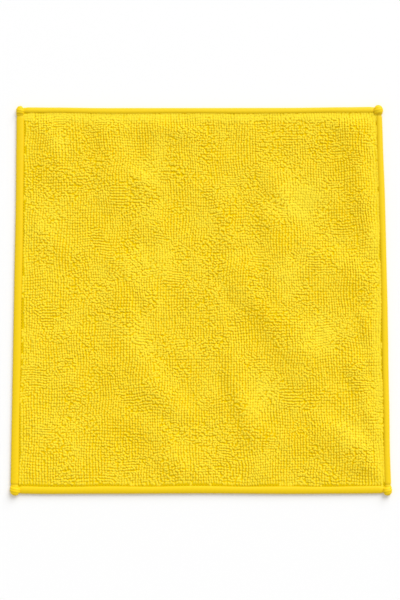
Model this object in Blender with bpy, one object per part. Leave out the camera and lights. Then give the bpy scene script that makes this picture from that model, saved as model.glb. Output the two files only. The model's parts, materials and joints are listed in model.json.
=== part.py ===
"""A square microfibre cleaning cloth, lying face up with the soft folds of a stored cloth.

One panel of terry knit has its raw edge closed by four overlocked edgings. The top and bottom
edgings are sewn first. The left and right ones cross their ends and finish in a small thread knob
at each corner.

Metres. +X is the cloth's right, +Y its top edge and +Z up, with the origin on the table under the
middle of the outline. Flat coordinates below run from the lower left corner of the cut cloth.
"""

from math import cos, hypot, pi, radians, sin

import bmesh
import bpy

MM = 0.001

# The cloth as cut and edged, before it is laid down: its size over the outer sides of the edgings.
WIDTH = 300 * MM
LENGTH = 313 * MM

# How the corners lie, where the outer sides of two edgings would meet, from the outline's middle.
CORNERS = {
    # corner: (x, y)
    "bottom_left": (-149.5 * MM, -156.6 * MM),
    "bottom_right": (150.5 * MM, -156.3 * MM),
    "top_left": (-150.7 * MM, 156.5 * MM),
    "top_right": (149.0 * MM, 156.9 * MM),
}

# How far each side bows outwards from the straight line between its two corners.
BOW_PLACES = (0.0, 0.1, 0.25, 0.5, 0.75, 0.9, 1.0)
BOWS = {
    # side: outward bow in mm at each of the places along it, from its left or lower end
    "left": (0.0, -0.10, -0.25, -0.40, -0.60, -0.25, 0.0),
    "right": (0.0, -0.30, 0.15, 0.75, 0.80, 0.25, 0.0),
    "bottom": (0.0, 0.25, 0.15, -0.05, 0.40, 0.20, 0.0),
    "top": (0.0, -0.25, -0.75, -0.80, -0.80, -0.30, 0.0),
}

# Soft folds that lift the sheet off the table, each along a crest that wanders a little.
FOLDS = (
    # crest start (x, y), crest end (x, y), height, half width, in mm
    ((120, 140), (140, 60), 3.0, 25),
    ((60, 60), (60, 5), 3.0, 25),
    ((140, -130), (100, -110), 2.8, 20),
    ((35, 10), (80, -50), 2.8, 25),
    ((-65, -55), (-60, 0), 2.4, 20),
    ((25, -50), (35, -105), 2.2, 15),
    ((-60, 20), (-45, 0), 2.2, 20),
    ((75, 50), (65, 95), 2.2, 15),
    ((-80, 135), (-70, 90), 2.2, 20),
    ((-25, -85), (-50, -55), 2.2, 25),
)
CREST_ROUNDING = 10 * MM  # how softly a fold begins and ends along its crest
STEEP_SIDE = 0.8  # of the half width, on the right of the way from start to end
GENTLE_SIDE = 1.3  # of the half width, on the left
CREASE_WANDER = 2.5 * MM
WANDER_LENGTH = 75 * MM

# The terry sheet: full pile in the middle, pressed thin where the edging holds it.
PILE_TOP = 2.5 * MM
PRESSED_LOW = 0.9 * MM
PRESSED_TOP = 2.2 * MM
RISE = 5 * MM  # over which the pressed edge opens out to the full pile
FURROW = 0.8 * MM  # pressed strip that shows inside each edging
FOLD_FREE = 14 * MM  # a fold dies out over this much before it meets an edging
CORNER_PRESS = 8 * MM  # a knob presses this much of the corner flat
GRID = 8 * MM

# The edgings: rounded bands of thread, a little uneven in width.
EDGINGS = {
    # side: (width, height, how much the width wanders, waves along the side, phase)
    "left": (6.4 * MM, 3.0 * MM, 0.15 * MM, 3.5, 0.4),
    "right": (5.0 * MM, 3.0 * MM, 0.15 * MM, 2.5, 1.9),
    "bottom": (5.9 * MM, 3.0 * MM, 0.20 * MM, 4.5, 0.9),
    "top": (5.0 * MM, 2.8 * MM, 0.20 * MM, 3.0, 2.6),
}
THREAD_OVER_EDGE = 1.6 * MM  # thread outside the sheet's raw edge
SECTION_POINTS = 12
SECTION_SQUARENESS = 2.1  # 2 is an ellipse, more is squarer
CROWN_SHIFT = 0.28  # of the half width, how far a band's crown lies in from its middle
SECTION_STEP = 20 * MM

# The knobs that end the left and right edgings, one at each corner.
KNOBS = {
    # corner: (width, length, height, past the outer side, past the end)
    "bottom_left": (8.2 * MM, 8.4 * MM, 4.8 * MM, 0.2 * MM, 1.4 * MM),
    "bottom_right": (7.2 * MM, 8.2 * MM, 4.8 * MM, 0.4 * MM, 1.7 * MM),
    "top_left": (6.6 * MM, 8.4 * MM, 4.5 * MM, 0.2 * MM, 0.9 * MM),
    "top_right": (7.8 * MM, 9.1 * MM, 4.8 * MM, 0.8 * MM, 1.2 * MM),
}
TIP_TURNS = (15, 38, 64, 90)  # degrees round a knob's end, from its tip to its widest section
NECK_TURNS = (108, 126)  # degrees from there back to the plain edging
NECK_STEP = 2 * MM  # from a knob's last section to the plain edging's first
UNDER_KNOB = 3.3 * MM  # the top and bottom edgings end this far in, inside the knobs

GAP = 0.3 * MM  # between touching pieces

YELLOW_PILE = (0.86, 0.63, 0.022, 1.0)
YELLOW_THREAD = (0.88, 0.62, 0.018, 1.0)


def smooth_step(start, end, value):
    """0 up to start, 1 from end on, and an even rise between them."""
    part = min(max((value - start) / (end - start), 0.0), 1.0)
    return part * part * (3 - 2 * part)


def bow(side, place):
    """How far a side bows outwards at a place from 0 to 1 along it."""
    rows = list(zip(BOW_PLACES, BOWS[side]))
    for (start, low), (end, high) in zip(rows, rows[1:]):
        if place <= end:
            return (low + (high - low) * smooth_step(start, end, place)) * MM
    return rows[-1][1] * MM


def lay(x, y):
    """Where a point of the flat cloth comes to lie, as (x, y) from the outline's middle."""
    across = x / WIDTH
    along = y / LENGTH
    shares = {
        "bottom_left": (1 - across) * (1 - along),
        "bottom_right": across * (1 - along),
        "top_left": (1 - across) * along,
        "top_right": across * along,
    }
    laid_x = sum(share * CORNERS[corner][0] for corner, share in shares.items())
    laid_y = sum(share * CORNERS[corner][1] for corner, share in shares.items())
    laid_x += across * bow("right", along) - (1 - across) * bow("left", along)
    laid_y += along * bow("top", across) - (1 - along) * bow("bottom", across)
    return laid_x, laid_y


def lift(x, y):
    """How high the folds lift the sheet at a laid point."""
    height = 0.0
    bent_x = x + CREASE_WANDER * sin(2 * pi * y / WANDER_LENGTH + 0.7)
    bent_y = y + CREASE_WANDER * sin(2 * pi * x / WANDER_LENGTH + 2.1)
    for (start_x, start_y), (end_x, end_y), crest, half_width in FOLDS:
        run_x = (end_x - start_x) * MM
        run_y = (end_y - start_y) * MM
        run = hypot(run_x, run_y)
        from_x = bent_x - start_x * MM
        from_y = bent_y - start_y * MM
        along = (from_x * run_x + from_y * run_y) / run
        off = (from_x * run_y - from_y * run_x) / run
        reach = (STEEP_SIDE if off > 0 else GENTLE_SIDE) * half_width * MM
        past = max(-along, along - run, 0.0)
        fade = 1 - smooth_step(0.0, CREST_ROUNDING + half_width * MM, past)
        ridge = crest * MM * fade * (1 - smooth_step(0.0, reach, abs(off)))
        height = max(height, ridge)
    return height


def side_spot(side, along, inset):
    """Flat coordinates of a spot given along a side and inwards from its outer side."""
    if side == "left":
        return inset, along
    if side == "right":
        return WIDTH - inset, along
    if side == "bottom":
        return along, inset
    return along, LENGTH - inset


def edging_width(side, along):
    """The width of an edging at a place along it."""
    width, _, wander, waves, phase = EDGINGS[side]
    return width + wander * sin(2 * pi * waves * along / LENGTH + phase)


def material(name, colour, roughness):
    """A plain cloth material for the solids."""
    made = bpy.data.materials.new(name)
    made.use_nodes = True
    shader = made.node_tree.nodes["Principled BSDF"]
    shader.inputs["Base Color"].default_value = colour
    shader.inputs["Roughness"].default_value = roughness
    shader.inputs["Metallic"].default_value = 0.0
    return made


def add_object(name, bm, finish=None):
    """Turn a finished bmesh into an object in the scene."""
    bmesh.ops.recalc_face_normals(bm, faces=bm.faces)
    mesh = bpy.data.meshes.new(name)
    bm.to_mesh(mesh)
    bm.free()
    made = bpy.data.objects.new(name, mesh)
    bpy.context.scene.collection.objects.link(made)
    if finish is not None:
        mesh.materials.append(finish)
        mesh.shade_smooth()
        mesh.set_sharp_from_angle(angle=0.7)
    return made


def make_cutter(made):
    """Leave an object out of the model, for other pieces to be cut by."""
    made.hide_render = True
    made.display_type = "WIRE"
    return made


def cut(piece, cutter):
    """Take a cutter's shape out of a piece."""
    boolean = piece.modifiers.new(cutter.name, "BOOLEAN")
    boolean.operation = "DIFFERENCE"
    boolean.solver = "EXACT"
    boolean.object = cutter


def spaced(start, end, step):
    """Even places from start to end, no further apart than step."""
    count = max(1, round((end - start) / step))
    return [start + (end - start) * k / count for k in range(count + 1)]


def sheet_lines(low_side, high_side, size):
    """Places of the sheet's grid lines across one direction, closer beside the edgings."""
    near = edging_width(low_side, 0.0) + FURROW
    far = size - edging_width(high_side, 0.0) - FURROW
    inner = spaced(near + RISE, far - RISE, GRID)
    return [THREAD_OVER_EDGE, near, near + RISE / 2, *inner, far - RISE / 2, far, size - THREAD_OVER_EDGE]


def grid_slab(columns, rows, levels):
    """A closed slab over a grid of flat places. levels gives its underside and top at a place."""
    bm = bmesh.new()
    bmesh.ops.create_grid(bm, x_segments=len(columns) - 1, y_segments=len(rows) - 1, size=1.0)
    copied = bmesh.ops.extrude_face_region(bm, geom=bm.faces[:])["geom"]
    lower = {part for part in copied if isinstance(part, bmesh.types.BMVert)}
    for vert in bm.verts:
        x = columns[round((vert.co.x + 1) / 2 * (len(columns) - 1))]
        y = rows[round((vert.co.y + 1) / 2 * (len(rows) - 1))]
        low, high = levels(x, y)
        vert.co = (*lay(x, y), low if vert in lower else high)
    return bm


def sheet_levels(x, y):
    """The underside and top of the terry sheet at a flat place."""
    from_side = min(
        x - edging_width("left", y) - FURROW,
        WIDTH - x - edging_width("right", y) - FURROW,
    )
    from_end = min(
        y - edging_width("bottom", x) - FURROW,
        LENGTH - y - edging_width("top", x) - FURROW,
    )
    open_pile = smooth_step(0.0, RISE, min(from_side, from_end))
    open_pile *= smooth_step(CORNER_PRESS / 2, CORNER_PRESS, max(from_side, from_end))
    laid_x, laid_y = lay(x, y)
    fold = lift(laid_x, laid_y) * smooth_step(0.0, FOLD_FREE, min(from_side, from_end))
    low = PRESSED_LOW * (1 - open_pile) + fold
    high = PRESSED_TOP + (PILE_TOP - PRESSED_TOP) * open_pile + fold
    return low, high


def terry_panel(finish):
    """The terry sheet, its pressed rim reaching into the edgings."""
    columns = sheet_lines("left", "right", WIDTH)
    rows = sheet_lines("bottom", "top", LENGTH)
    return add_object("terry_panel", grid_slab(columns, rows, sheet_levels), finish)


def rim_cutter():
    """The room that the sheet's pressed rim takes in the edgings, with the gap round it."""
    start = THREAD_OVER_EDGE - GAP
    columns = spaced(start, WIDTH - start, SECTION_STEP)
    rows = spaced(start, LENGTH - start, SECTION_STEP)
    slab = grid_slab(columns, rows, lambda x, y: (PRESSED_LOW - GAP, PRESSED_TOP + GAP))
    return make_cutter(add_object("rim_cutter", slab))


def knob_sections(side, corner, end, heading, grow):
    """Sections of one knob, from its tip to its neck.

    A section is (along, inset, up, half width, half height, how far in its crown is shifted).

    end is where its side ends, and heading is 1 or -1, the way along the side from there.
    """
    width, length, height, past_side, past_end = KNOBS[corner]
    band_width, band_height = EDGINGS[side][:2]
    centre = length / 2 - past_end
    sections = []
    for turn in TIP_TURNS + NECK_TURNS:
        place = centre - (length / 2 + grow) * cos(radians(turn))
        half_width = width / 2 * sin(radians(turn))
        half_height = height / 2 * sin(radians(turn))
        inset = width / 2 - past_side
        up = height / 2
        shift = 0.0
        if turn in NECK_TURNS:
            half_width = max(half_width, band_width / 2)
            half_height = max(half_height, band_height / 2)
            knob_share = smooth_step(band_width / 2, max(width, band_width + GAP) / 2, half_width)
            inset = band_width / 2 + (inset - band_width / 2) * knob_share
            up = half_height
            shift = CROWN_SHIFT * half_width * (1 - knob_share)
        along = end + heading * place
        sections.append((along, inset, up, half_width + grow, half_height + grow, shift))
    return sections


def band_sections(side, start, end, grow):
    """Sections of a plain stretch of edging, in the same columns as those of a knob."""
    sections = []
    half_height = EDGINGS[side][1] / 2
    for along in spaced(start, end, SECTION_STEP):
        half_width = edging_width(side, along) / 2
        shift = CROWN_SHIFT * half_width
        sections.append((along, half_width, half_height, half_width + grow, half_height + grow, shift))
    return sections


def squared(value):
    """A sine or cosine made squarer, for a rounded section."""
    return abs(value) ** (2 / SECTION_SQUARENESS) * (1 if value > 0 else -1)


def tube(side, sections):
    """A closed tube of thread through the sections of one side."""
    bm = bmesh.new()
    crown = squared(cos(pi / SECTION_POINTS))
    last = None
    for along, inset, up, half_width, half_height, shift in sections:
        ring = bmesh.ops.create_circle(bm, segments=SECTION_POINTS, radius=1.0)["verts"]
        for k, vert in enumerate(ring):
            turn = 2 * pi * (k + 0.5) / SECTION_POINTS
            across = squared(cos(turn))
            spot = side_spot(side, along, inset + half_width * across + shift * (1 - abs(across)))
            vert.co = (*lay(*spot), up + half_height * squared(sin(turn)) / crown)
        edges = [edge for edge in bm.edges if edge.verts[0] in ring and edge.verts[1] in ring]
        if last is None:
            bmesh.ops.contextual_create(bm, geom=edges)
        else:
            bmesh.ops.bridge_loops(bm, edges=last + edges)
        last = edges
    bmesh.ops.contextual_create(bm, geom=last)
    return bm


def knobbed_sections(side, grow):
    """All sections of the left or right edging, with the knob at each end."""
    lower = knob_sections(side, f"bottom_{side}", 0.0, 1, grow)
    upper = knob_sections(side, f"top_{side}", LENGTH, -1, grow)
    start = lower[-1][0] + NECK_STEP
    end = upper[-1][0] - NECK_STEP
    return [*lower, *band_sections(side, start, end, grow), *reversed(upper)]


def build():
    """Model the five pieces."""
    for old in list(bpy.data.objects):
        bpy.data.objects.remove(old, do_unlink=True)
    pile = material("terry_knit", YELLOW_PILE, 0.9)
    thread = material("overlock_thread", YELLOW_THREAD, 0.6)
    terry_panel(pile)
    rim = rim_cutter()
    side_cutters = []
    for side in ("left", "right"):
        piece = add_object(f"edging_{side}", tube(side, knobbed_sections(side, 0.0)), thread)
        cut(piece, rim)
        grown = add_object(f"{side}_cutter", tube(side, knobbed_sections(side, GAP)))
        side_cutters.append(make_cutter(grown))
    for side in ("bottom", "top"):
        sections = band_sections(side, UNDER_KNOB, WIDTH - UNDER_KNOB, 0.0)
        piece = add_object(f"edging_{side}", tube(side, sections), thread)
        cut(piece, rim)
        for cutter in side_cutters:
            cut(piece, cutter)


build()
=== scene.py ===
"""The looks of a yellow microfibre cleaning cloth: looped pile, overlocked edgings and soft folds.

The cloth is modelled flat in its own coordinates, from the lower left corner of the edged cloth
(x to its right, y to its top edge), and every piece is then laid down on the same uneven outline
and folds as its solids. Metres throughout, on the solids' own frame.
"""

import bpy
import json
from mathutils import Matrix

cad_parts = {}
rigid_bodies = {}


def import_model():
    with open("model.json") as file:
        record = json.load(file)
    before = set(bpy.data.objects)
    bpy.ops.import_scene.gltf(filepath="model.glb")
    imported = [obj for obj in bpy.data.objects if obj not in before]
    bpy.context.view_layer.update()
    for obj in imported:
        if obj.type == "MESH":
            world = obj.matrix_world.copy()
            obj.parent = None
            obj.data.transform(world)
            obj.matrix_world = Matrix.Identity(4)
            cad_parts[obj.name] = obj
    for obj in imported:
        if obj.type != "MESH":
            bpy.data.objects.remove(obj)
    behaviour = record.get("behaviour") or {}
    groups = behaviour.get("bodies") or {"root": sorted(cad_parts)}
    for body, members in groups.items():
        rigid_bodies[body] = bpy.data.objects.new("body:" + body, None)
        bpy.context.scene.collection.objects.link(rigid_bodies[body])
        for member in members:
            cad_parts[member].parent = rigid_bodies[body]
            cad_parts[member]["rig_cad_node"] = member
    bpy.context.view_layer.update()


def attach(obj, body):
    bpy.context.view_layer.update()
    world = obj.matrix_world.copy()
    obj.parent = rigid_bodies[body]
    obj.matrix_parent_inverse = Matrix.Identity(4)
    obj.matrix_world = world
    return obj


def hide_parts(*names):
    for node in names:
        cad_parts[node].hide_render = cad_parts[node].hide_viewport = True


bl_info = {
    "name": "Microfibre Cloth",
    "version": (1, 0, 0),
    "blender": (4, 5, 0),
    "location": "3D View > Sidebar > Cloth",
    "description": "Builds a looped microfibre cloth with overlocked edgings on its packed solids",
    "category": "Object",
}

import json
from math import cos, hypot, pi, radians, sin

import bmesh
import bpy
import numpy as np
from bpy.props import FloatProperty, FloatVectorProperty, PointerProperty
from mathutils import Vector, noise

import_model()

MM = 0.001

# The edged cloth before it is laid down, over the outer sides of its edgings.
WIDTH = 300 * MM
LENGTH = 313 * MM

# Where the outer sides of the edgings meet, from the outline's middle, as (x, y).
BOTTOM_LEFT = (-149.5 * MM, -156.6 * MM)
BOTTOM_RIGHT = (150.5 * MM, -156.3 * MM)
TOP_LEFT = (-150.7 * MM, 156.5 * MM)
TOP_RIGHT = (149.0 * MM, 156.9 * MM)

# How far each side bows outwards from a straight line, at places along it.
BOW_PLACES = (0.0, 0.1, 0.25, 0.5, 0.75, 0.9, 1.0)
BOWS = {
    # side: outward bow in mm at each of those places, from its left or lower end
    "left": (0.0, -0.10, -0.25, -0.40, -0.60, -0.25, 0.0),
    "right": (0.0, -0.30, 0.15, 0.75, 0.80, 0.25, 0.0),
    "bottom": (0.0, 0.25, 0.15, -0.05, 0.40, 0.20, 0.0),
    "top": (0.0, -0.25, -0.75, -0.80, -0.80, -0.30, 0.0),
}

# Soft folds that lift the sheet off the table, each along a crest that wanders a little.
FOLDS = (
    # crest start (x, y), crest end (x, y), height, half width, in mm
    ((120, 140), (140, 60), 3.0, 25),
    ((60, 60), (60, 5), 3.0, 25),
    ((140, -130), (100, -110), 2.8, 20),
    ((35, 10), (80, -50), 2.8, 25),
    ((-65, -55), (-60, 0), 2.4, 20),
    ((25, -50), (35, -105), 2.2, 15),
    ((-60, 20), (-45, 0), 2.2, 20),
    ((75, 50), (65, 95), 2.2, 15),
    ((-80, 135), (-70, 90), 2.2, 20),
    ((-25, -85), (-50, -55), 2.2, 25),
)

# Smaller creases that only the looped sheet shows, in the same columns.
CREASES = (
    ((-120, 110), (-125, 135), 2.0, 15),
    ((140, 15), (100, 25), 1.8, 25),
    ((125, -60), (135, -95), 1.8, 15),
    ((-15, -135), (-30, -110), 1.8, 20),
    ((-15, 140), (-35, 140), 1.4, 15),
    ((-45, 90), (-70, 110), 1.4, 15),
    ((130, -20), (140, -60), 1.2, 10),
    ((100, -50), (95, -30), 1.0, 15),
    ((15, -30), (15, 0), 1.0, 12),
    ((-30, 20), (-35, 55), 1.0, 15),
    ((15, 85), (20, 45), 1.0, 15),
    ((-135, -135), (-140, -90), 1.0, 15),
    ((-115, 35), (-140, 55), 0.8, 15),
)
CREST_ROUNDING = 10 * MM  # how softly a fold begins and ends along its crest
STEEP_SIDE = 0.8  # of the half width, on the right of the way from start to end
GENTLE_SIDE = 1.3  # of the half width, on the left
CREASE_WANDER = 2.5 * MM
WANDER_LENGTH = 75 * MM
WANDER_PHASES = (0.7, 2.1)

# The light rumple all over the sheet, as waves that cross each other.
RUMPLES = (
    # wave length in mm, the way it runs in degrees from +x, height in mm, phase in radians
    (61, 48, 0.18, 0.4),
    (47, 22, 0.14, 2.9),
    (37, 66, 0.12, 1.7),
    (29, 35, 0.09, 4.4),
    (22, 85, 0.06, 0.9),
    (24, -8, 0.06, 3.6),
)
RUMPLE_SWAY = 0.8  # radians by which a wave's crests swing to and fro
RUMPLE_SWAY_LENGTH = 2.7  # wave lengths from one swing to the next
RUMPLE_LEVEL = 0.45  # share of the waves' full height that stands over the flat parts

# Soft patches where the pile stands fuller and smoother, or under 0 thinner and rougher.
PATCHES = (
    # middle (x, y) in mm, radius in mm, how much fuller from -1 to 1
    ((80, 80), 35, 1.0),
    ((100, -30), 30, 0.75),
    ((120, -110), 20, 0.75),
    ((-50, -35), 20, 0.75),
    ((-115, 125), 15, 0.75),
    ((50, -80), 25, 0.75),
    ((75, 15), 30, 0.5),
    ((-45, 100), 35, 0.5),
    ((-125, 55), 30, 0.5),
    ((-35, 25), 35, 0.5),
    ((115, 115), 30, -0.75),
    ((90, -115), 25, -0.75),
    ((50, -15), 25, -0.75),
    ((-85, 120), 25, -0.5),
    ((-60, 5), 15, -0.5),
    ((-140, 110), 30, -0.5),
    ((-75, -60), 30, -0.5),
    ((125, 0), 30, -0.5),
    ((125, 75), 30, -0.5),
    ((-60, -105), 45, -0.5),
)
PATCH_SWELL = 0.1  # how much larger the fullest loops are
PATCH_EVENNESS = 0.6  # how much less their heights differ
PATCH_PALENESS = 0.08  # how far their colour is pushed from the roots' to the tips', a painted highlight on the fuller patches
PATCH_SMOOTHING = 0.75  # how close they come to combed pile
PATCH_RISE = 0.7  # how many fewer of them stand low

# How unlike each other the loops are.
LOOP_SPREAD = 0.15  # of their length and width
LOOP_HEIGHT = 0.97  # of the room from the ground to the sheet's top
HEIGHT_SPREAD = 0.13
SUNK_SHARE = 0.12  # of the loops stand low
SUNK_DEPTH = 0.45  # by this much of their height
TURN_SPREAD = 0.2  # radians
LEAN_SPREAD = 0.1  # of the pitch
TONE_SPREAD = 0.04  # of their brightness
CURL_SPREAD = 0.3  # of their width, by which their ends bend sideways
CURL_MIDDLE = 0.4  # keeps a bent loop on its place
GRID_JITTER = 0.1  # of the pitch, for a loop that stands in line
LOOSE_JITTER = 0.28  # of the pitch, for a loop that lies loosely
LIE_BORDER = -0.35  # level of LIE_NOISE over which loops lie along the columns
LOOSE_BORDER = 0.12  # how near that level they lie loosely
LOOSE_LEVEL = 0.2  # level of WANDER_NOISE over which they do as well
COMBED_SWELL = 0.35  # how much larger combed loops are
COMBED_EVENNESS = 0.7  # how much less their heights differ

# Smooth noises over the cloth, each a sum of layers.
# (strength, size of the lumps, a number that keeps the layer apart from the others)
LIE_NOISE = ((1.0, 26 * MM, 3.1), (0.6, 12 * MM, 8.4))
WANDER_NOISE = ((1.0, 17 * MM, 5.7),)
PULL_X_NOISE = ((2.2 * MM, 22 * MM, 15.2),)
PULL_Y_NOISE = ((2.2 * MM, 22 * MM, 18.6),)
FULL_NOISE = ((0.3, 14 * MM, 33.2), (0.3, 7 * MM, 36.8))
SWELL_NOISE = ((0.07, 17 * MM, 11.3), (0.04, 6 * MM, 21.7))
LEAN_X_NOISE = ((0.3, 22 * MM, 25.9),)
LEAN_Y_NOISE = ((0.3, 22 * MM, 29.1),)

# The terry sheet: full pile in the middle, pressed thin where the edging holds it.
THREAD_OVER_EDGE = 1.6 * MM
PILE_TOP = 2.5 * MM
PRESSED_LOW = 0.9 * MM
PRESSED_TOP = 2.2 * MM
RISE = 5 * MM  # over which the pressed edge opens out to the full pile
FURROW = 0.8 * MM  # pressed strip that shows inside each edging
FOLD_FREE = 14 * MM  # a fold dies out over this much before it meets an edging
CORNER_PRESS = 8 * MM  # a knob presses this much of the corner flat
GROUND_STEP = 4 * MM
GROUND_SHARE = 0.36  # most of the sheet's thickness that its ground takes up
RIM_SHARE = 0.85  # the same beside an edging, where the pile is pressed into it
RIM_LEAST = 0.3  # how far the ground thickens so beside an edging that combs no strip
STRIP_SHARE = 0.8  # how far it does under a combed strip
RIM_PILE = 0.8  # height of the pile beside an edging, of its full height
LOOPS_START = 0.9 * MM  # from an edging to the middle of the nearest loops
COMBED_TUCK = 1.2 * MM  # how much nearer they start on a combed strip
STRIP_START = 4.4 * MM  # from an edging, where a combed strip begins to end
STRIP_END = 9 * MM
ROOT_DEPTH = 0.12 * MM  # how deep a loop is rooted in the ground

# The pile's filaments. Real ones are far finer and wouldn't show, so these are drawn coarser.
FILAMENT = 0.16 * MM
FILAMENT_RUN = 1.5 * MM
FILAMENT_SLANT = 0.4
LOOP_STEP = 1.7  # keeps one loop's filaments unlike the next one's

# Ribs of the knitted ground and mottle of the edging thread, for their materials.
KNIT_RIB = 0.9739 * MM
THREAD_MOTTLE = 0.6 * MM

# Simple loop shapes, one unit high on a base of radius one.
LOOP_SIDES = 10
STITCH_SIDES = 6
SHOULDER_WIDTH = 1.16
SHOULDER_HEIGHT = 0.98
PRESSED_SIDE = 1.4
PRESSED_TAPER = 0.72

# The edgings: rounded bands of thread, a little uneven in width.
EDGINGS = {
    # side: (width, height, how much the width wanders, waves along the side, phase)
    "left": (6.4 * MM, 3.0 * MM, 0.15 * MM, 3.5, 0.4),
    "right": (5.0 * MM, 3.0 * MM, 0.15 * MM, 2.5, 1.9),
    "bottom": (5.9 * MM, 3.0 * MM, 0.20 * MM, 4.5, 0.9),
    "top": (5.0 * MM, 2.8 * MM, 0.20 * MM, 3.0, 2.6),
}
# How smooth the strip of pile beside each edging is combed, from 0 to 1.
COMBED = {"left": 0.1, "right": 0.7, "bottom": 0.0, "top": 1.0}
KNOBS = {
    # corner: (width, length, height, past the outer side, past the end)
    "bottom_left": (8.2 * MM, 8.4 * MM, 4.8 * MM, 0.2 * MM, 1.4 * MM),
    "bottom_right": (7.2 * MM, 8.2 * MM, 4.8 * MM, 0.4 * MM, 1.7 * MM),
    "top_left": (6.6 * MM, 8.4 * MM, 4.5 * MM, 0.2 * MM, 0.9 * MM),
    "top_right": (7.8 * MM, 9.1 * MM, 4.8 * MM, 0.8 * MM, 1.2 * MM),
}
SECTION_POINTS = 12
SECTION_SQUARENESS = 2.1  # 2 is an ellipse, more is squarer
CROWN_SHIFT = 0.28  # of the half width, how far a band's crown lies in from its middle
UNDER_KNOB = 3.3 * MM  # the top and bottom edgings end this far in, inside the knobs
PINCH = 0.14  # how much slimmer the knobs press them there
PINCH_START = 2.5 * MM
PINCH_END = 7 * MM
TIP_TURN = 6  # degrees round a knob's end, from its tip to the first ring
NECK_TURN = 126  # degrees to its last ring, where the plain edging begins
KNOB_ARC = 1.1  # length of the way round a knob's end, of the knob's length
LEAST_SHOULDER = 0.3 * MM  # by which a knob is wider than its edging
KNOB_REACH = 8.6 * MM  # from a knob's tip to its neck
KNOB_FADE = 0.85  # of that reach, where its winding begins to end
KNOB_WINDING = 2.2 * MM  # distance between its windings
KNOB_RELIEF = 1.4  # how much deeper they are than an edging's wraps
KNOB_SLANT = 1.6  # how much more they slant
WRAP_SLANT = 0.45  # of the wrap pitch, how far a wrap runs on as it crosses the band
WRAP_ROUNDNESS = 0.8  # below 1 the wraps are full and the valleys between them narrow
KNOB_ROUNDNESS = 0.6
MEAN_WRAP = 0.6  # height of a wrap that keeps to the band's own size
NECK_GROOVE = 0.3 * MM
NECK_WIDTH = 0.8 * MM
NECK_SMOOTHING = 0.8
RINGS_PER_WRAP = 4

# The needle stitches in the furrows.
STITCH_FREE = 9 * MM  # at each corner no stitch shows over this much
STITCH_PLACE = 0.35  # of the furrow, from the edging
STITCH_HALF_LENGTH = 0.7 * MM
STITCH_HALF_WIDTH = 0.25 * MM
STITCH_HEIGHT = 0.42 * MM
STITCH_DEPTH = 0.1 * MM
STITCH_TURN = 0.08  # radians by which a stitch is off its line

# The stage: where the key light comes from, how soft it is, what the camera looks at, the floor.
KEY_LIGHT_FROM = (0.90, 1.72, 1.41)
KEY_LIGHT_SPREAD = radians(45)
CAMERA_AIM = (-0.15 * MM, -2.69 * MM, 0.0)
FLOOR_HALF_SIZE = 40.0
FLOOR_GAP = 0.05 * MM

SEED = 7

# ---------------------------------------------------------------- colours and settings


def linear(code):
    """An sRGB hex colour as linear red, green and blue."""
    parts = [int(code[k : k + 2], 16) / 255 for k in (1, 3, 5)]
    return tuple(p / 12.92 if p <= 0.04045 else ((p + 0.055) / 1.055) ** 2.4 for p in parts)


def length_setting(name, description, default, least=0.0):
    """A length that a user can change."""
    return FloatProperty(
        name=name,
        description=description,
        default=default,
        min=least,
        unit="LENGTH",
        precision=5,
    )


def colour_setting(name, description, code):
    """A colour that a user can change, with its sRGB hex code as the default."""
    return FloatVectorProperty(
        name=name,
        description=description,
        subtype="COLOR",
        default=linear(code),
        min=0.0,
        max=1.0,
    )


class ClothSizes(bpy.types.PropertyGroup):
    """Sizes of the pile and the sewing that a user would change."""

    loop_pitch: length_setting(
        "Loop pitch", "Distance from one pile loop to the next, both ways", 2.13 * MM, 1.5 * MM
    )
    loop_width: FloatProperty(
        name="Loop width",
        description="Width of a loop's crown as a share of the pitch",
        default=1.02,
        min=0.3,
        max=1.6,
    )
    loop_lie: FloatProperty(
        name="Loop length",
        description="Length of a loop's crown as a share of the pitch, along the way it lies",
        default=1.5,
        min=0.5,
        max=2.0,
    )
    ground_thickness: length_setting(
        "Ground thickness", "Thickness of the knitted ground between the two piles", 0.9 * MM
    )
    wrap_pitch: length_setting(
        "Wrap pitch", "Distance between the overlock thread's wraps along an edging", 1.0 * MM
    )
    wrap_relief: length_setting(
        "Wrap relief", "How far a wrap of thread stands out of the band", 0.10 * MM
    )
    stitch_pitch: length_setting(
        "Stitch pitch", "Distance between the needle stitches beside an edging", 2.4 * MM
    )


class ClothColours(bpy.types.PropertyGroup):
    """Colours of the yarns and the floor."""

    # The loops' colour runs by height from root to tip: the root colour is a painted shade low in
    # the pile, the tip colour a painted highlight on the crowns. The root colour is also the knit
    # ground's own colour.
    tip: colour_setting("Loop tips", "Colour of the pile where it catches the light", "#FBE33E")
    root: colour_setting("Loop roots", "Colour down between the loops", "#F3CE00")
    thread: colour_setting("Edging thread", "Colour of the overlock thread", "#F2CD0A")
    floor: colour_setting("Floor", "Colour of the pale floor", "#F8F8F8")


class StageSettings(bpy.types.PropertyGroup):
    """Camera and light, as in the reference view."""

    lens: FloatProperty(
        name="Lens",
        description="Focal length in millimetres on a 36 mm long side",
        default=70.0,
    )
    distance: FloatProperty(
        name="Camera distance",
        description="From the camera to the point it looks at",
        default=0.9387,
        unit="LENGTH",
    )
    tilt: FloatProperty(
        name="Camera tilt",
        description="How far the camera leans from straight down, towards the bottom edge",
        default=radians(7.183),
        subtype="ANGLE",
    )
    key_power: FloatProperty(
        name="Key light",
        description="Strength of the large soft light at the upper right",
        default=2.35,
    )
    sky: FloatProperty(
        name="Sky strength",
        description="Strength of the even white light from all round",
        default=0.62,
    )


# ---------------------------------------------------------------- the shape of the laid cloth


def smooth_step(start, end, value):
    """0 up to start, 1 from end on, and an even rise between them, on arrays."""
    part = np.clip((value - start) / (end - start), 0.0, 1.0)
    return part * part * (3 - 2 * part)


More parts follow.
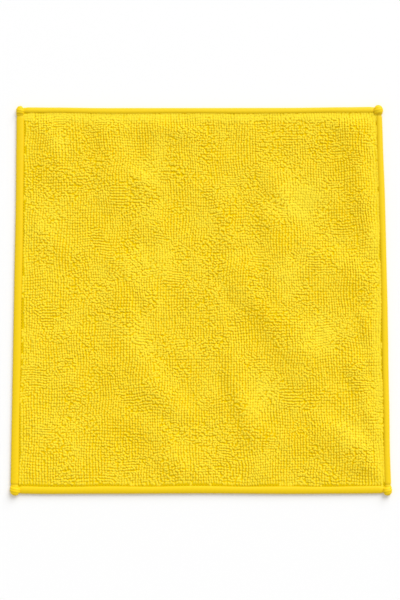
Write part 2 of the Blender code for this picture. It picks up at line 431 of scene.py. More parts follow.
def bow(side, place):
    """How far a side bows outwards at places from 0 to 1 along it."""
    step = np.clip(np.searchsorted(BOW_PLACES, place) - 1, 0, len(BOW_PLACES) - 2)
    places = np.array(BOW_PLACES)
    bows = np.array(BOWS[side])
    share = smooth_step(places[step], places[step + 1], place)
    return (bows[step] + (bows[step + 1] - bows[step]) * share) * MM


def lay(x, y):
    """Where points of the flat cloth come to lie, as arrays (x, y) from the outline's middle."""
    across = x / WIDTH
    along = y / LENGTH
    laid = []
    for axis in (0, 1):
        low = BOTTOM_LEFT[axis] * (1 - across) + BOTTOM_RIGHT[axis] * across
        high = TOP_LEFT[axis] * (1 - across) + TOP_RIGHT[axis] * across
        laid.append(low * (1 - along) + high * along)
    laid[0] += across * bow("right", along) - (1 - across) * bow("left", along)
    laid[1] += along * bow("top", across) - (1 - along) * bow("bottom", across)
    return laid


def lift(x, y):
    """How high the folds lift the sheet at laid points."""
    height = np.zeros_like(x)
    bent_x = x + CREASE_WANDER * np.sin(2 * pi * y / WANDER_LENGTH + WANDER_PHASES[0])
    bent_y = y + CREASE_WANDER * np.sin(2 * pi * x / WANDER_LENGTH + WANDER_PHASES[1])
    for (start_x, start_y), (end_x, end_y), crest, half_width in FOLDS + CREASES:
        run_x = (end_x - start_x) * MM
        run_y = (end_y - start_y) * MM
        run = hypot(run_x, run_y)
        from_x = bent_x - start_x * MM
        from_y = bent_y - start_y * MM
        along = (from_x * run_x + from_y * run_y) / run
        off = (from_x * run_y - from_y * run_x) / run
        reach = np.where(off > 0, STEEP_SIDE, GENTLE_SIDE) * half_width * MM
        past = np.maximum(np.maximum(-along, along - run), 0.0)
        fade = 1 - smooth_step(0.0, CREST_ROUNDING + half_width * MM, past)
        ridge = crest * MM * fade * (1 - smooth_step(0.0, reach, np.abs(off)))
        height = np.maximum(height, ridge)
    return height + rumple(x, y)


def rumple(x, y):
    """The light rumple of the whole sheet, never under the level of its flat parts."""
    total = np.zeros_like(x)
    most = 0.0
    for length, heading, height, phase in RUMPLES:
        way = x * cos(radians(heading)) + y * sin(radians(heading))
        across = y * cos(radians(heading)) - x * sin(radians(heading))
        sway = RUMPLE_SWAY * np.sin(2 * pi * across / (RUMPLE_SWAY_LENGTH * length * MM) + phase)
        total += height * np.sin(2 * pi * way / (length * MM) + phase + sway)
        most += height
    return np.maximum(total + RUMPLE_LEVEL * most, 0.0) * MM


def edging_width(side, along):
    """The width of an edging at places along it."""
    width, _, wander, waves, phase = EDGINGS[side]
    return width + wander * np.sin(2 * pi * waves * along / LENGTH + phase)


def room_beside(x, y):
    """How far flat places are from each edging, by the name of its side."""
    return {
        "left": x - edging_width("left", y),
        "right": WIDTH - x - edging_width("right", y),
        "bottom": y - edging_width("bottom", x),
        "top": LENGTH - y - edging_width("top", x),
    }


def room_to_edging(x, y):
    """How far flat places are from the nearest edging."""
    return np.minimum.reduce(list(room_beside(x, y).values()))


def combed(x, y, start=STRIP_START, end=STRIP_END, least=0.0):
    """How smooth the pile is combed at flat places, from 0 to 1."""
    strips = [
        (least + (1 - least) * COMBED[side]) * (1 - smooth_step(start, end, room))
        for side, room in room_beside(x, y).items()
    ]
    return np.maximum.reduce(strips)


def sheet_levels(x, y):
    """The underside and top of the terry sheet, pile included, at flat places."""
    room = room_beside(x, y)
    from_side = np.minimum(room["left"], room["right"]) - FURROW
    from_end = np.minimum(room["bottom"], room["top"]) - FURROW
    nearest = np.minimum(from_side, from_end)
    open_pile = smooth_step(0.0, RISE, nearest)
    open_pile *= smooth_step(CORNER_PRESS / 2, CORNER_PRESS, np.maximum(from_side, from_end))
    fold = lift(*lay(x, y)) * smooth_step(0.0, FOLD_FREE, nearest)
    low = PRESSED_LOW * (1 - open_pile) + fold
    high = PRESSED_TOP + (PILE_TOP - PRESSED_TOP) * open_pile + fold
    return low, high


def side_spot(side, along, inset):
    """Flat coordinates of spots given along a side and inwards from its outer side."""
    if side == "left":
        return inset, along
    if side == "right":
        return WIDTH - inset, along
    if side == "bottom":
        return along, inset
    return along, LENGTH - inset


# ---------------------------------------------------------------- helpers for meshes


def read_points(mesh):
    """A mesh's points as an array."""
    points = np.empty(len(mesh.vertices) * 3)
    mesh.vertices.foreach_get("co", points)
    return points.reshape(-1, 3)


def write_points(mesh, points):
    """Give a mesh new points."""
    mesh.vertices.foreach_set("co", np.ascontiguousarray(points, dtype=np.float32).ravel())
    mesh.update()


def add_values(mesh, name, values):
    """Store one number for each point of a mesh, for its material."""
    attribute = mesh.attributes.new(name, "FLOAT", "POINT")
    attribute.data.foreach_set("value", np.ascontiguousarray(values, dtype=np.float32))


def add_ways(mesh, name, ways):
    """Store a vector for each point of a mesh, for its material."""
    attribute = mesh.attributes.new(name, "FLOAT_VECTOR", "POINT")
    attribute.data.foreach_set("vector", np.ascontiguousarray(ways, dtype=np.float32).ravel())


def add_plan_map(mesh):
    """A UV map that looks straight down on the piece."""
    points = read_points(mesh)[:, :2]
    low = points.min(axis=0)
    size = points.max(axis=0) - low
    corners = np.empty(len(mesh.loops), dtype=np.int32)
    mesh.loops.foreach_get("vertex_index", corners)
    layer = mesh.uv_layers.new(name="OFBake")
    flat = ((points - low) / size)[corners]
    layer.uv.foreach_set("vector", flat.astype(np.float32).ravel())


def add_piece(name, mesh, material):
    """Put a finished mesh into the scene as a piece of the cloth."""
    mesh.materials.append(material)
    mesh.shade_smooth()
    piece = bpy.data.objects.new(name, mesh)
    bpy.context.scene.collection.objects.link(piece)
    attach(piece, "root")
    return piece


def join_copies(name, shape, points):
    """One mesh of many copies of a small shape. points holds each copy's own points."""
    copies, per_copy = points.shape[:2]
    corners = np.array([v for face in shape for v in face], dtype=np.int32)
    sizes = np.array([len(face) for face in shape], dtype=np.int32)
    offsets = np.arange(copies, dtype=np.int32)[:, None] * per_copy
    all_corners = (corners[None, :] + offsets).ravel()
    all_sizes = np.tile(sizes, copies)
    mesh = bpy.data.meshes.new(name)
    mesh.vertices.add(copies * per_copy)
    mesh.vertices.foreach_set("co", points.astype(np.float32).ravel())
    mesh.loops.add(len(all_corners))
    mesh.loops.foreach_set("vertex_index", all_corners)
    mesh.polygons.add(len(all_sizes))
    starts = np.concatenate(([0], np.cumsum(all_sizes)[:-1])).astype(np.int32)
    mesh.polygons.foreach_set("loop_start", starts)
    mesh.polygons.foreach_set("loop_total", all_sizes)
    mesh.update(calc_edges=True)
    return mesh


def read_shape(bm):
    """The points and faces of a small closed shape, and the end of its bmesh."""
    bmesh.ops.recalc_face_normals(bm, faces=bm.faces)
    bm.verts.index_update()
    points = np.array([vert.co[:] for vert in bm.verts])
    faces = [[vert.index for vert in face.verts] for face in bm.faces]
    bm.free()
    return points, faces


def crown(sides):
    """The rounded crown of a loop or stitch."""
    bm = bmesh.new()
    bmesh.ops.create_uvsphere(bm, u_segments=sides, v_segments=4, radius=1.0)
    below = [vert for vert in bm.verts if vert.co.z < -0.1]
    bmesh.ops.delete(bm, geom=below, context="VERTS")
    shoulder = [vert for vert in bm.verts if 0.1 < vert.co.z < 0.9]
    bmesh.ops.scale(bm, vec=(SHOULDER_WIDTH, SHOULDER_WIDTH, SHOULDER_HEIGHT), verts=shoulder)
    return read_shape(bm)


def pressed_crown():
    """The plainer crown of a loop that the cloth lies on, to the same measures."""
    bm = bmesh.new()
    bmesh.ops.create_cube(bm, size=PRESSED_SIDE)
    bmesh.ops.translate(bm, vec=(0, 0, PRESSED_SIDE / 2), verts=bm.verts)
    top = [vert for vert in bm.verts if vert.co.z > PRESSED_SIDE / 2]
    bmesh.ops.scale(bm, vec=(PRESSED_TAPER, PRESSED_TAPER, 1 / PRESSED_SIDE), verts=top)
    under = [face for face in bm.faces if face.normal.z < -0.9]
    bmesh.ops.delete(bm, geom=under, context="FACES")
    return read_shape(bm)


# ---------------------------------------------------------------- materials


def add_node(tree, kind, settings=None, links=None):
    """Add a node. settings sets its properties or sockets, links feeds its sockets."""
    node = tree.nodes.new(kind)
    for key, value in (settings or {}).items():
        if isinstance(key, int) or key in node.inputs:
            node.inputs[key].default_value = value
        else:
            setattr(node, key, value)
    for key, source in (links or {}).items():
        tree.links.new(source, node.inputs[key])
    return node


def new_material(name, sockets):
    """A material with its shader's own values set. Returns it, its node tree and its shader."""
    material = bpy.data.materials.new(name)
    material.use_nodes = True
    tree = material.node_tree
    shader = tree.nodes["Principled BSDF"]
    for key, value in sockets.items():
        shader.inputs[key].default_value = value
    return material, tree, shader


def finish_shader(tree, shader, colour, height, strength, distance):
    """Give a shader the colour of a node, and a fine bump from a socket's height."""
    bump = add_node(
        tree,
        "ShaderNodeBump",
        {"Strength": strength, "Distance": distance},
        {"Height": height},
    )
    tree.links.new(colour.outputs["Color"], shader.inputs["Base Color"])
    tree.links.new(bump.outputs["Normal"], shader.inputs["Normal"])


def terry_material(colours):
    """Split polyester and polyamide microfibre, knitted in loops.

    The eye sees matt yellow crowns with a faint fuzz, a deeper yellow towards the roots, and each
    loop a shade apart from the next. The deeper roots are a painted shade and the paler crowns a
    painted highlight.
    """
    material, tree, shader = new_material(
        "terry_loops",
        {
            "Roughness": 0.8,
            "IOR": 1.5,
            "Specular IOR Level": 0.02,
            "Sheen Weight": 0.02,
            "Sheen Roughness": 0.45,
            "Sheen Tint": (*linear("#FFE66A"), 1.0),
        },
    )
    depth = add_node(tree, "ShaderNodeAttribute", {"attribute_name": "height_for_painted_light"})
    tone = add_node(tree, "ShaderNodeAttribute", {"attribute_name": "loop_tone"})
    yarn_way = add_node(tree, "ShaderNodeAttribute", {"attribute_name": "yarn_way"})
    fibres = add_node(
        tree,
        "ShaderNodeTexNoise",
        {"Scale": 1.0, "Detail": 2.0, "Roughness": 0.6},
        {"Vector": yarn_way.outputs["Vector"]},
    )
    # Painted shade and highlight: a deeper yellow low in the pile and a paler one on the crowns, by
    # height.
    painted_light_share = add_node(
        tree,
        "ShaderNodeMapRange",
        {"From Min": 0.35, "From Max": 1.05},
        {"Value": depth.outputs["Fac"]},
    )
    yarn = add_node(
        tree,
        "ShaderNodeMix",
        {"data_type": "RGBA", 6: (*colours.root, 1.0), 7: (*colours.tip, 1.0)},
        {"Factor": painted_light_share.outputs["Result"]},
    )
    # The filaments make a loop up to 15 % lighter or darker, and its own tone does the rest.
    shade = add_node(
        tree,
        "ShaderNodeMath",
        {"operation": "MULTIPLY_ADD", 1: 0.3, 2: 0.85},
        {0: fibres.outputs["Fac"]},
    )
    toned = add_node(
        tree,
        "ShaderNodeMath",
        {"operation": "MULTIPLY"},
        {0: shade.outputs[0], 1: tone.outputs["Fac"]},
    )
    value = add_node(
        tree,
        "ShaderNodeHueSaturation",
        {},
        {"Color": yarn.outputs[2], "Value": toned.outputs[0]},
    )
    finish_shader(tree, shader, value, fibres.outputs["Fac"], 0.6, 0.15 * MM)
    return material


def knit_material(colours):
    """Warp-knitted microfibre ground: a matt, close knit that shows only beside the edgings.

    The eye sees deep yellow with the knit's tight little ribs, and painted shade beside the thread.
    """
    material, tree, shader = new_material(
        "knit_ground", {"Roughness": 0.85, "IOR": 1.5, "Specular IOR Level": 0.04}
    )
    spot = add_node(tree, "ShaderNodeTexCoord")
    ribs = add_node(
        tree,
        "ShaderNodeTexWave",
        # A wave texture of scale 1 has its ribs a tenth of pi apart.
        {"Scale": pi / (10 * KNIT_RIB), "Distortion": 1.5, "Detail": 1.0, "Detail Scale": 2.0},
        {"Vector": spot.outputs["Object"]},
    )
    room = add_node(tree, "ShaderNodeAttribute", {"attribute_name": "from_edging"})
    # Painted shade: the ground is darkest right beside the thread, in the furrow's shadow, and
    # lightens out over the furrow.
    furrow_painted_shade = add_node(
        tree,
        "ShaderNodeMapRange",
        {"From Min": 0.3, "From Max": 1.8, "To Min": 0.6, "To Max": 0.85},
        {"Value": room.outputs["Fac"]},
    )
    shade = add_node(
        tree,
        "ShaderNodeMath",
        {"operation": "MULTIPLY_ADD", 1: 0.2},
        {0: ribs.outputs["Fac"], 2: furrow_painted_shade.outputs["Result"]},
    )
    value = add_node(
        tree,
        "ShaderNodeHueSaturation",
        {"Color": (*colours.root, 1.0)},
        {"Value": shade.outputs[0]},
    )
    finish_shader(tree, shader, value, ribs.outputs["Fac"], 0.5, 0.2 * MM)
    return material


def thread_material(colours):
    """Textured polyester filament thread, wrapped closely round an edge.

    The eye sees a smooth satin band with fine ribs across it, a little lighter on their crowns
    and darker in the grooves between them, a painted shade.
    """
    material, tree, shader = new_material(
        "overlock_thread",
        {
            "Roughness": 0.5,
            "IOR": 1.5,
            "Specular IOR Level": 0.2,
            "Sheen Weight": 0.5,
            "Sheen Roughness": 0.35,
            "Sheen Tint": (*linear("#FFF4B4"), 1.0),
        },
    )
    rib = add_node(tree, "ShaderNodeAttribute", {"attribute_name": "thread_height_for_painted_shade"})
    spot = add_node(tree, "ShaderNodeTexCoord")
    fibres = add_node(
        tree,
        "ShaderNodeTexNoise",
        {"Scale": 1 / THREAD_MOTTLE, "Detail": 3.0},
        {"Vector": spot.outputs["Object"]},
    )
    # Painted shade: the thread darkens where a wrap or stitch runs low, in the grooves, at the
    # knobs' necks and at the stitches' feet.
    shade = add_node(
        tree,
        "ShaderNodeMath",
        {"operation": "MULTIPLY_ADD", 1: 0.28, 2: 0.75},
        {0: rib.outputs["Fac"]},
    )
    mottled = add_node(
        tree,
        "ShaderNodeMath",
        {"operation": "MULTIPLY_ADD", 1: 0.12},
        {0: fibres.outputs["Fac"], 2: shade.outputs[0]},
    )
    value = add_node(
        tree,
        "ShaderNodeHueSaturation",
        {"Color": (*colours.thread, 1.0)},
        {"Value": mottled.outputs[0]},
    )
    finish_shader(tree, shader, value, fibres.outputs["Fac"], 0.3, 0.08 * MM)
    return material


def floor_material(colours):
    """Matt white laminate: an even pale surface."""
    material, tree, shader = new_material("floor_laminate", {"Roughness": 0.8})
    spot = add_node(tree, "ShaderNodeTexCoord")
    cloud = add_node(
        tree, "ShaderNodeTexNoise", {"Scale": 3.0, "Detail": 2.0}, {"Vector": spot.outputs["Object"]}
    )
    rough = add_node(
        tree,
        "ShaderNodeMapRange",
        {"To Min": 0.75, "To Max": 0.85},
        {"Value": cloud.outputs["Fac"]},
    )
    tree.links.new(rough.outputs["Result"], shader.inputs["Roughness"])
    shader.inputs["Base Color"].default_value = (*colours.floor, 1.0)
    return material


# ---------------------------------------------------------------- pieces


def ground_levels(x, y, sizes):
    """The underside and top of the knitted ground between the two piles."""
    low, high = sheet_levels(x, y)
    middle = (low + high) / 2
    rim = np.maximum(combed(x, y, 0.0, RISE, RIM_LEAST), STRIP_SHARE * combed(x, y))
    share = GROUND_SHARE + (RIM_SHARE - GROUND_SHARE) * rim
    half = np.minimum(sizes.ground_thickness, share * (high - low)) / 2
    return middle - half, middle + half


def make_ground(sizes, colours):
    """The knitted ground: one thin sheet on the folds, its rim inside the edgings."""
    columns = round((WIDTH - 2 * THREAD_OVER_EDGE) / GROUND_STEP)
    rows = round((LENGTH - 2 * THREAD_OVER_EDGE) / GROUND_STEP)
    bm = bmesh.new()
    bmesh.ops.create_grid(bm, x_segments=columns, y_segments=rows, size=1.0)
    copied = bmesh.ops.extrude_face_region(bm, geom=bm.faces[:])["geom"]
    raised = [part for part in copied if isinstance(part, bmesh.types.BMVert)]
    bmesh.ops.translate(bm, vec=(0, 0, 1), verts=raised)
    bmesh.ops.recalc_face_normals(bm, faces=bm.faces)
    mesh = bpy.data.meshes.new("knit_ground")
    bm.to_mesh(mesh)
    bm.free()
    points = read_points(mesh)
    x = THREAD_OVER_EDGE + (points[:, 0] + 1) / 2 * (WIDTH - 2 * THREAD_OVER_EDGE)
    y = THREAD_OVER_EDGE + (points[:, 1] + 1) / 2 * (LENGTH - 2 * THREAD_OVER_EDGE)
    low, high = ground_levels(x, y, sizes)
    z = np.where(points[:, 2] > 0.5, high, low)
    write_points(mesh, np.column_stack((*lay(x, y), z)))
    # The distance to the nearest edging, for the painted shade in the furrow.
    add_values(mesh, "from_edging", room_to_edging(x, y) / MM)
    add_plan_map(mesh)
    piece = add_piece("knit_ground", mesh, knit_material(colours))
    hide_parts("terry_panel")
    return piece


def loop_spots(sizes, rng):
    """Flat places of the pile loops and the way each lies: an even grid, pulled about a little."""
    columns = np.arange(0, WIDTH, sizes.loop_pitch)
    rows = np.arange(0, LENGTH, sizes.loop_pitch)
    x, y = (places.ravel() for places in np.meshgrid(columns, rows))
    turn, loose = loop_lies(x, y, rng)
    jitter = np.where(loose, LOOSE_JITTER, GRID_JITTER) * sizes.loop_pitch
    pulled_x = x + rng.uniform(-1, 1, len(x)) * jitter + noise_over(x, y, PULL_X_NOISE)
    pulled_y = y + rng.uniform(-1, 1, len(x)) * jitter + noise_over(x, y, PULL_Y_NOISE)
    start = LOOPS_START - COMBED_TUCK * combed(pulled_x, pulled_y)
    inside = room_to_edging(pulled_x, pulled_y) > start
    return [values[inside] for values in (pulled_x, pulled_y, turn)]


def rim_press(x, y):
    """How much of its full height the pile keeps near the edgings."""
    return RIM_PILE + (1 - RIM_PILE) * smooth_step(0.0, RISE, room_to_edging(x, y))


def noise_over(x, y, layers):
    """A sum of smooth noises at flat places, each up to about its strength either way."""
    total = np.zeros_like(x)
    for strength, grain, layer in layers:
        spots = (Vector((a / grain, b / grain, layer)) for a, b in zip(x, y))
        total += strength * np.array([noise.noise(spot) for spot in spots])
    return total


def fullness(x, y):
    """How much fuller than the rest the pile stands at flat places, from about -1 to 1."""
    laid_x, laid_y = lay(x, y)
    total = noise_over(x, y, FULL_NOISE)
    for (middle_x, middle_y), radius, share in PATCHES:
        away = np.hypot(laid_x - middle_x * MM, laid_y - middle_y * MM) / (radius * MM)
        total += share * np.clip(1 - away**2, 0.0, 1.0) ** 2
    return np.clip(total, -1.0, 1.0)


def loop_lies(x, y, rng):
    """The way each loop lies: patches of columns, patches of rows, and wandering ones between."""
    patch = noise_over(x, y, LIE_NOISE)
    turn = np.where(patch > LIE_BORDER, pi / 2, 0.0)
    loose = np.abs(patch - LIE_BORDER) < LOOSE_BORDER
    loose |= noise_over(x, y, WANDER_NOISE) > LOOSE_LEVEL
    free = rng.uniform(0, pi, len(x))
    turn = np.where(loose, free, turn + rng.normal(0, TURN_SPREAD, len(x)))
    return turn, loose


def make_pile(sizes, material, side, part, places):
    """A part of the pile on one side of the cloth, as one mesh of joined loops."""
    x, y, turn, length, width, height, curl, lean_x, lean_y, tone, full = places
    shape, faces = crown(LOOP_SIDES) if side == "face" else pressed_crown()
    along = shape[None, :, 0] * length[:, None] / 2
    across = shape[None, :, 1] * width[:, None] / 2
    slanted = across + FILAMENT_SLANT * along
    loop_number = np.broadcast_to(np.arange(len(x))[:, None], along.shape)
    yarn_way = np.stack((along / FILAMENT_RUN, slanted / FILAMENT, LOOP_STEP * loop_number), axis=2)
    across = across + curl[:, None] * (shape[None, :, 0] ** 2 - CURL_MIDDLE)
    up = np.broadcast_to(shape[None, :, 2], along.shape)
    flat_x = x[:, None] + along * np.cos(turn)[:, None] - across * np.sin(turn)[:, None]
    flat_y = y[:, None] + along * np.sin(turn)[:, None] + across * np.cos(turn)[:, None]
    flat_x = flat_x + lean_x[:, None] * up
    flat_y = flat_y + lean_y[:, None] * up
    low, high = sheet_levels(flat_x, flat_y)
    ground_low, ground_high = ground_levels(flat_x, flat_y, sizes)
    if side == "face":
        z = ground_high - ROOT_DEPTH + up * ((high - ground_high) * height[:, None] + ROOT_DEPTH)
    else:
        z = ground_low + ROOT_DEPTH - up * ((ground_low - low) * height[:, None] + ROOT_DEPTH)
        faces = [face[::-1] for face in faces]
    laid_x, laid_y = lay(flat_x, flat_y)
    name = f"pile_{side}_{part}"
    mesh = join_copies(name, faces, np.stack((laid_x, laid_y, z), axis=2))
    # The loops' height, pushed up on fuller patches, sets their painted shade low down and painted
    # highlight on the crowns.
    add_values(mesh, "height_for_painted_light", (up + PATCH_PALENESS * full[:, None]).ravel())
    add_values(mesh, "loop_tone", np.repeat(tone, len(shape)))
    add_ways(mesh, "yarn_way", yarn_way)
    add_plan_map(mesh)
    piece = add_piece(name, mesh, material)
    return piece


def make_piles(sizes, colours):
    """The looped pile on the face and the back of the cloth, in a few joined pieces."""
    rng = np.random.default_rng(SEED)
    x, y, turn = loop_spots(sizes, rng)
    pitch = sizes.loop_pitch

    def spread(most):
        """A random number for each loop, up to most either way."""
        return rng.uniform(-most, most, len(x))

    full = fullness(x, y)
    smooth = np.maximum(combed(x, y), PATCH_SMOOTHING * np.clip(full, 0.0, 1.0) ** 2)
    swell = 1 + noise_over(x, y, SWELL_NOISE) + COMBED_SWELL * smooth + PATCH_SWELL * full
    uneven = (1 - COMBED_EVENNESS * smooth) * (1 - PATCH_EVENNESS * full)
    length = pitch * sizes.loop_lie * swell * (1 + spread(LOOP_SPREAD))
    width = pitch * sizes.loop_width * swell * (1 + spread(LOOP_SPREAD))
    low = rng.random(len(x)) < SUNK_SHARE * (1 - PATCH_RISE * full)
    height = LOOP_HEIGHT + spread(HEIGHT_SPREAD) * uneven - SUNK_DEPTH * low * (1 - smooth)
    height *= rim_press(x, y)
    curl = spread(CURL_SPREAD) * width
    lean_x = pitch * (noise_over(x, y, LEAN_X_NOISE) + spread(LEAN_SPREAD))
    lean_y = pitch * (noise_over(x, y, LEAN_Y_NOISE) + spread(LEAN_SPREAD))
    tone = 1 + spread(TONE_SPREAD)
    material = terry_material(colours)
    quarters = {
        "lower_left": (x < WIDTH / 2) & (y < LENGTH / 2),
        "lower_right": (x >= WIDTH / 2) & (y < LENGTH / 2),
        "upper_left": (x < WIDTH / 2) & (y >= LENGTH / 2),
        "upper_right": (x >= WIDTH / 2) & (y >= LENGTH / 2),
    }
    loops = np.stack((x, y, turn, length, width, height, curl, lean_x, lean_y, tone, full))
    for part, here in quarters.items():
        make_pile(sizes, material, "face", part, loops[:, here])
    # No loop on the back reaches under the sheet, into the table.
    loops[5] = np.minimum(height, 1.0)
    halves = {"left": x < WIDTH / 2, "right": x >= WIDTH / 2}
    for part, here in halves.items():
        make_pile(sizes, material, "back", part, loops[:, here])


def squared(value):
    """Sines or cosines made squarer, for a rounded section."""
    return np.abs(value) ** (2 / SECTION_SQUARENESS) * np.sign(value)


def band_rings(side, start, end, step):
    """Rings of a plain stretch of edging, as rows (along, inset, up, half width, half height)."""
    along = np.linspace(start, end, max(2, round((end - start) / step) + 1))
    half_width = edging_width(side, along) / 2
    half_height = np.full_like(along, EDGINGS[side][1] / 2)
    return np.column_stack((along, half_width, half_height, half_width, half_height))


def knob_rings(side, corner, end, heading, step):
    """Rings of one knob, from its tip to its neck, in the same columns."""
    width, length, height, past_side, past_end = KNOBS[corner]
    band_width, band_height = EDGINGS[side][:2]
    centre = length / 2 - past_end
    rows = []
    for turn in np.linspace(TIP_TURN, NECK_TURN, round(length * KNOB_ARC / step)):
        swell = sin(radians(turn))
        half_width = width / 2 * swell
        half_height = height / 2 * swell
        inset = width / 2 - past_side
        up = height / 2
        if turn > 90:
            half_width = max(half_width, band_width / 2)
            half_height = max(half_height, band_height / 2)
            widest = max(width, band_width + LEAST_SHOULDER) / 2
            share = smooth_step(band_width / 2, widest, half_width)
            inset = band_width / 2 + (inset - band_width / 2) * share
            up = half_height
        place = centre - length / 2 * cos(radians(turn))
        rows.append((end + heading * place, inset, up, half_width, half_height))
    return np.array(rows)


def edging_rings(side, step):
    """All rings of one edging."""
    if side in ("bottom", "top"):
        rings = band_rings(side, UNDER_KNOB, WIDTH - UNDER_KNOB, step)
        to_end = np.minimum(rings[:, 0], WIDTH - rings[:, 0]) - UNDER_KNOB
        pinch = 1 - PINCH * (1 - smooth_step(PINCH_START, PINCH_END, to_end))
        rings[:, 3] *= pinch
        rings[:, 4] *= pinch
        rings[:, 2] = rings[:, 4]
        return rings
    lower = knob_rings(side, f"bottom_{side}", 0.0, 1, step)
    upper = knob_rings(side, f"top_{side}", LENGTH, -1, step)
    middle = band_rings(side, lower[-1, 0] + step, upper[-1, 0] - step, step)
    return np.concatenate((lower, middle, upper[::-1]))


def rounded_wraps(place, pitch, roundness):
    """How high a row of thread wraps stands at places along it, from 0 to 1."""
    return np.abs(np.cos(pi * place / pitch)) ** roundness


def make_edging(side, sizes, material):
    """One overlocked edging: a rounded band of closely wrapped thread."""
    step = sizes.wrap_pitch / RINGS_PER_WRAP
    rings = edging_rings(side, step)
    bm = bmesh.new()
    bm.loops.layers.uv.new("OFBake")
    bmesh.ops.create_grid(
        bm, x_segments=len(rings) - 1, y_segments=SECTION_POINTS, size=1.0, calc_uvs=True
    )
    mesh = bpy.data.meshes.new(f"edging_{side}_thread")
    bm.to_mesh(mesh)
    bm.free()
    points = read_points(mesh)
    ring = np.rint((points[:, 0] + 1) / 2 * (len(rings) - 1)).astype(int)
    spoke = np.rint((points[:, 1] + 1) / 2 * SECTION_POINTS).astype(int) % SECTION_POINTS
    along, inset, up, half_width, half_height = rings[ring].T
    turn = 2 * pi * (spoke + 0.5) / SECTION_POINTS
    highest = squared(np.array([cos(pi / SECTION_POINTS)]))[0]
    knob = 0.0
    neck = 0.0
    slant = WRAP_SLANT * sizes.wrap_pitch * np.cos(turn)
    wrap = rounded_wraps(along + slant, sizes.wrap_pitch, WRAP_ROUNDNESS)
    if side in ("left", "right"):
        from_end = np.minimum(along - rings[0, 0], rings[-1, 0] - along)
        knob = 1 - smooth_step(KNOB_FADE * KNOB_REACH, KNOB_REACH, from_end)
        winding = rounded_wraps(along + KNOB_SLANT * slant, KNOB_WINDING, KNOB_ROUNDNESS)
        neck = np.exp(-(((from_end - KNOB_REACH) / NECK_WIDTH) ** 2))
        wrap = (wrap + (winding - wrap) * knob) * (1 - NECK_SMOOTHING * neck)
    relief = sizes.wrap_relief * (1 + KNOB_RELIEF * knob)
    swell = relief * (wrap - MEAN_WRAP) - NECK_GROOVE * neck
    across = squared(np.cos(turn))
    shift = CROWN_SHIFT * (1 - knob) * half_width * (1 - np.abs(across))
    flat = side_spot(side, along, inset + shift + (half_width + swell) * across)
    z = up + (half_height + swell) * squared(np.sin(turn)) / highest
    write_points(mesh, np.column_stack((*lay(*flat), np.maximum(z, 0.0))))
    # The wraps' height also sets the thread's painted shade, darker in the grooves and at the knobs'
    # necks.
    add_values(mesh, "thread_height_for_painted_shade", wrap)
    close_tube(mesh)
    piece = add_piece(f"edging_{side}_thread", mesh, material)
    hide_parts(f"edging_{side}")
    return piece


def close_tube(mesh):
    """Join the seam of a rolled grid and fill its two ends."""
    bm = bmesh.new()
    bm.from_mesh(mesh)
    bmesh.ops.remove_doubles(bm, verts=bm.verts, dist=0.001 * MM)
    bmesh.ops.holes_fill(bm, edges=[edge for edge in bm.edges if edge.is_boundary])
    bmesh.ops.recalc_face_normals(bm, faces=bm.faces)
    bm.to_mesh(mesh)
    bm.free()
    mesh.update()


def make_stitches(sizes, material):
    """The needle stitches that hold the edgings, one row in each furrow."""
    rng = np.random.default_rng(SEED + 1)
    spots = []
    for side in EDGINGS:
        run = LENGTH if side in ("left", "right") else WIDTH
        along = np.arange(STITCH_FREE, run - STITCH_FREE, sizes.stitch_pitch)
        inset = edging_width(side, along) + STITCH_PLACE * FURROW
        x, y = side_spot(side, along, inset)
        turn = np.full(len(along), pi / 2 if side in ("left", "right") else 0.0)
        spots.append(np.column_stack((x, y, turn)))
    x, y, turn = np.concatenate(spots).T
    turn = turn + rng.normal(0, STITCH_TURN, len(x))
    shape, faces = crown(STITCH_SIDES)
    along = shape[None, :, 0] * STITCH_HALF_LENGTH
    across = shape[None, :, 1] * STITCH_HALF_WIDTH
    flat_x = x[:, None] + along * np.cos(turn)[:, None] - across * np.sin(turn)[:, None]
    flat_y = y[:, None] + along * np.sin(turn)[:, None] + across * np.cos(turn)[:, None]
    _, ground_high = ground_levels(flat_x, flat_y, sizes)
    z = ground_high - STITCH_DEPTH + shape[None, :, 2] * STITCH_HEIGHT
    laid_x, laid_y = lay(flat_x, flat_y)
    mesh = join_copies("needle_stitches", faces, np.stack((laid_x, laid_y, z), axis=2))
    # A stitch's height sets its painted shade, darker at its foot.
    add_values(mesh, "thread_height_for_painted_shade", np.tile(shape[:, 2], len(x)))
    add_plan_map(mesh)
    piece = add_piece("needle_stitches", mesh, material)
    return piece


def make_floor(colours):
    """A plain pale floor that runs out to the horizon."""
    bm = bmesh.new()
    bmesh.ops.create_grid(bm, x_segments=1, y_segments=1, size=FLOOR_HALF_SIZE)
    mesh = bpy.data.meshes.new("floor")
    bm.to_mesh(mesh)
    bm.free()
    mesh.materials.append(floor_material(colours))
    floor = bpy.data.objects.new("floor", mesh)
    floor.location.z = -FLOOR_GAP
    bpy.context.scene.collection.objects.link(floor)


def aim(thing, target):
    """Turn a camera or a light towards a point."""
    away = thing.location - Vector(target)
    thing.rotation_euler = away.to_track_quat("Z", "Y").to_euler()


def make_lights(stage):
    """One large soft light at the upper right, and even white light from all round."""
    key = bpy.data.lights.new("key", "SUN")
    key.angle = KEY_LIGHT_SPREAD
    key.energy = stage.key_power
    lamp = bpy.data.objects.new("key", key)
    lamp.location = KEY_LIGHT_FROM
    bpy.context.scene.collection.objects.link(lamp)
    aim(lamp, (0, 0, 0))
    world = bpy.data.worlds.new("white_studio")
    world.use_nodes = True
    back = world.node_tree.nodes["Background"]
    back.inputs["Color"].default_value = (1, 1, 1, 1)
    back.inputs["Strength"].default_value = stage.sky
    bpy.context.scene.world = world


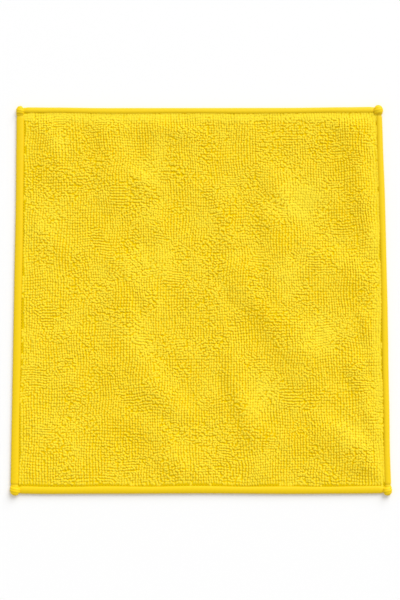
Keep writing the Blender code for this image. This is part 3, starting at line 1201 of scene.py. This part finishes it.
def make_camera(stage):
    """The camera above the cloth, leaning a little towards its bottom edge."""
    data = bpy.data.cameras.new("camera")
    data.lens = stage.lens
    data.clip_start = 0.01
    camera = bpy.data.objects.new("camera", data)
    away = Vector((0, -sin(stage.tilt), cos(stage.tilt))) * stage.distance
    camera.location = Vector(CAMERA_AIM) + away
    bpy.context.scene.collection.objects.link(camera)
    aim(camera, CAMERA_AIM)
    bpy.context.scene.camera = camera


# ---------------------------------------------------------------- operators, panel, registration


class CLOTH_OT_sheet(bpy.types.Operator):
    """Build the terry sheet: its knitted ground and the pile loops on both sides"""

    bl_idname = "cloth.sheet"
    bl_label = "Terry sheet"

    def execute(self, context):
        sizes = context.scene.cloth_sizes
        colours = context.scene.cloth_colours
        make_ground(sizes, colours)
        make_piles(sizes, colours)
        return {"FINISHED"}


class CLOTH_OT_edgings(bpy.types.Operator):
    """Build the four overlocked edgings and their needle stitches"""

    bl_idname = "cloth.edgings"
    bl_label = "Edgings"

    def execute(self, context):
        sizes = context.scene.cloth_sizes
        material = thread_material(context.scene.cloth_colours)
        for side in EDGINGS:
            make_edging(side, sizes, material)
        make_stitches(sizes, material)
        return {"FINISHED"}


class CLOTH_OT_stage(bpy.types.Operator):
    """Set up the floor, the lights and the camera"""

    bl_idname = "cloth.stage"
    bl_label = "Stage"

    def execute(self, context):
        make_floor(context.scene.cloth_colours)
        make_lights(context.scene.cloth_stage)
        make_camera(context.scene.cloth_stage)
        context.scene.view_settings.view_transform = "Standard"
        return {"FINISHED"}


class CLOTH_PT_tools(bpy.types.Panel):
    """Lists the cloth's pieces and settings"""

    bl_label = "Microfibre cloth"
    bl_idname = "CLOTH_PT_tools"
    bl_space_type = "VIEW_3D"
    bl_region_type = "UI"
    bl_category = "Cloth"

    def draw(self, context):
        scene = context.scene
        for group in (scene.cloth_sizes, scene.cloth_colours, scene.cloth_stage):
            for name in group.__annotations__:
                self.layout.prop(group, name)
        for operator in OPERATORS:
            self.layout.operator(operator.bl_idname)


GROUPS = {"cloth_sizes": ClothSizes, "cloth_colours": ClothColours, "cloth_stage": StageSettings}
OPERATORS = (CLOTH_OT_sheet, CLOTH_OT_edgings, CLOTH_OT_stage)


def register():
    """Register the classes and hang the settings on the scene."""
    for kind in (*GROUPS.values(), *OPERATORS, CLOTH_PT_tools):
        bpy.utils.register_class(kind)
    for name, group in GROUPS.items():
        setattr(bpy.types.Scene, name, PointerProperty(type=group))


def unregister():
    """Undo register."""
    for name in GROUPS:
        delattr(bpy.types.Scene, name)
    for kind in (CLOTH_PT_tools, *reversed(OPERATORS), *reversed(GROUPS.values())):
        bpy.utils.unregister_class(kind)


def main():
    """Build everything in order."""
    register()
    bpy.ops.cloth.sheet()
    bpy.ops.cloth.edgings()
    bpy.ops.cloth.stage()


if __name__ == "__main__":
    main()
